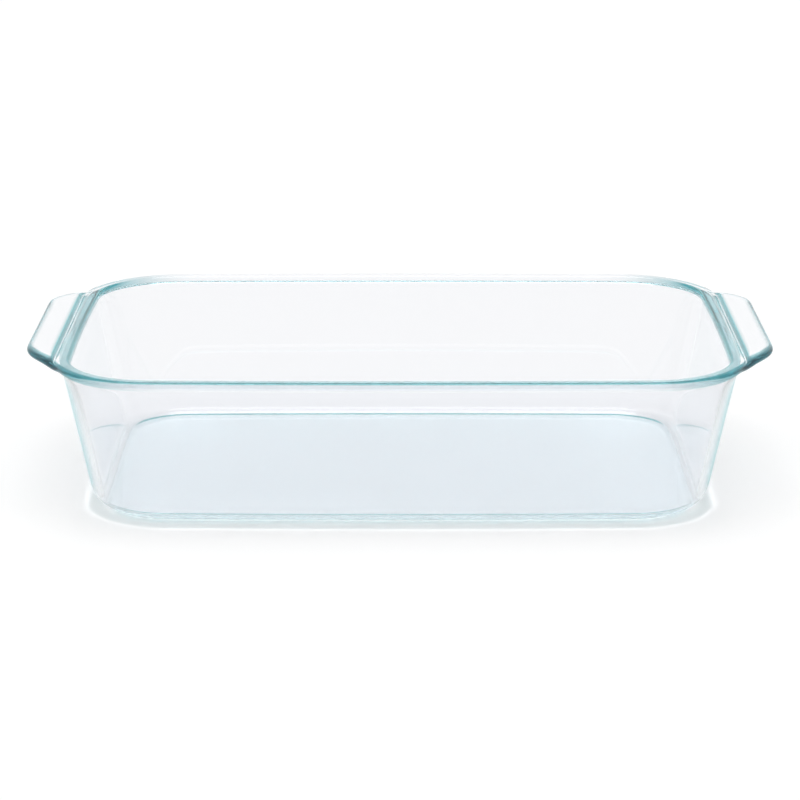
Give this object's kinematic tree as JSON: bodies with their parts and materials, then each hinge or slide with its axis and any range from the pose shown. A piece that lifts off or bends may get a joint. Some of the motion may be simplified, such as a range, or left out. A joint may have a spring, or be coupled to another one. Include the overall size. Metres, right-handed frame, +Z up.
{
  "type": "glass baking dish",
  "caption": "Oblong clear glass baking dish with leaning walls, a rolled rim and a flat handle ear on each short end.",
  "frame": {"origin": "centre of the flat underside, on the surface the dish stands on", "axes": "+X along the dish towards one handle, +Y across it, +Z up out of the opening"},
  "size_m": [0.3944, 0.2416, 0.0838],
  "materials": {
    "clear_glass": "fire-polished pressed glass, clear with a blue-green edge tint"
  },
  "bodies": {
    "root": {"glass_dish": "clear_glass"}
  },
  "joints": []
}
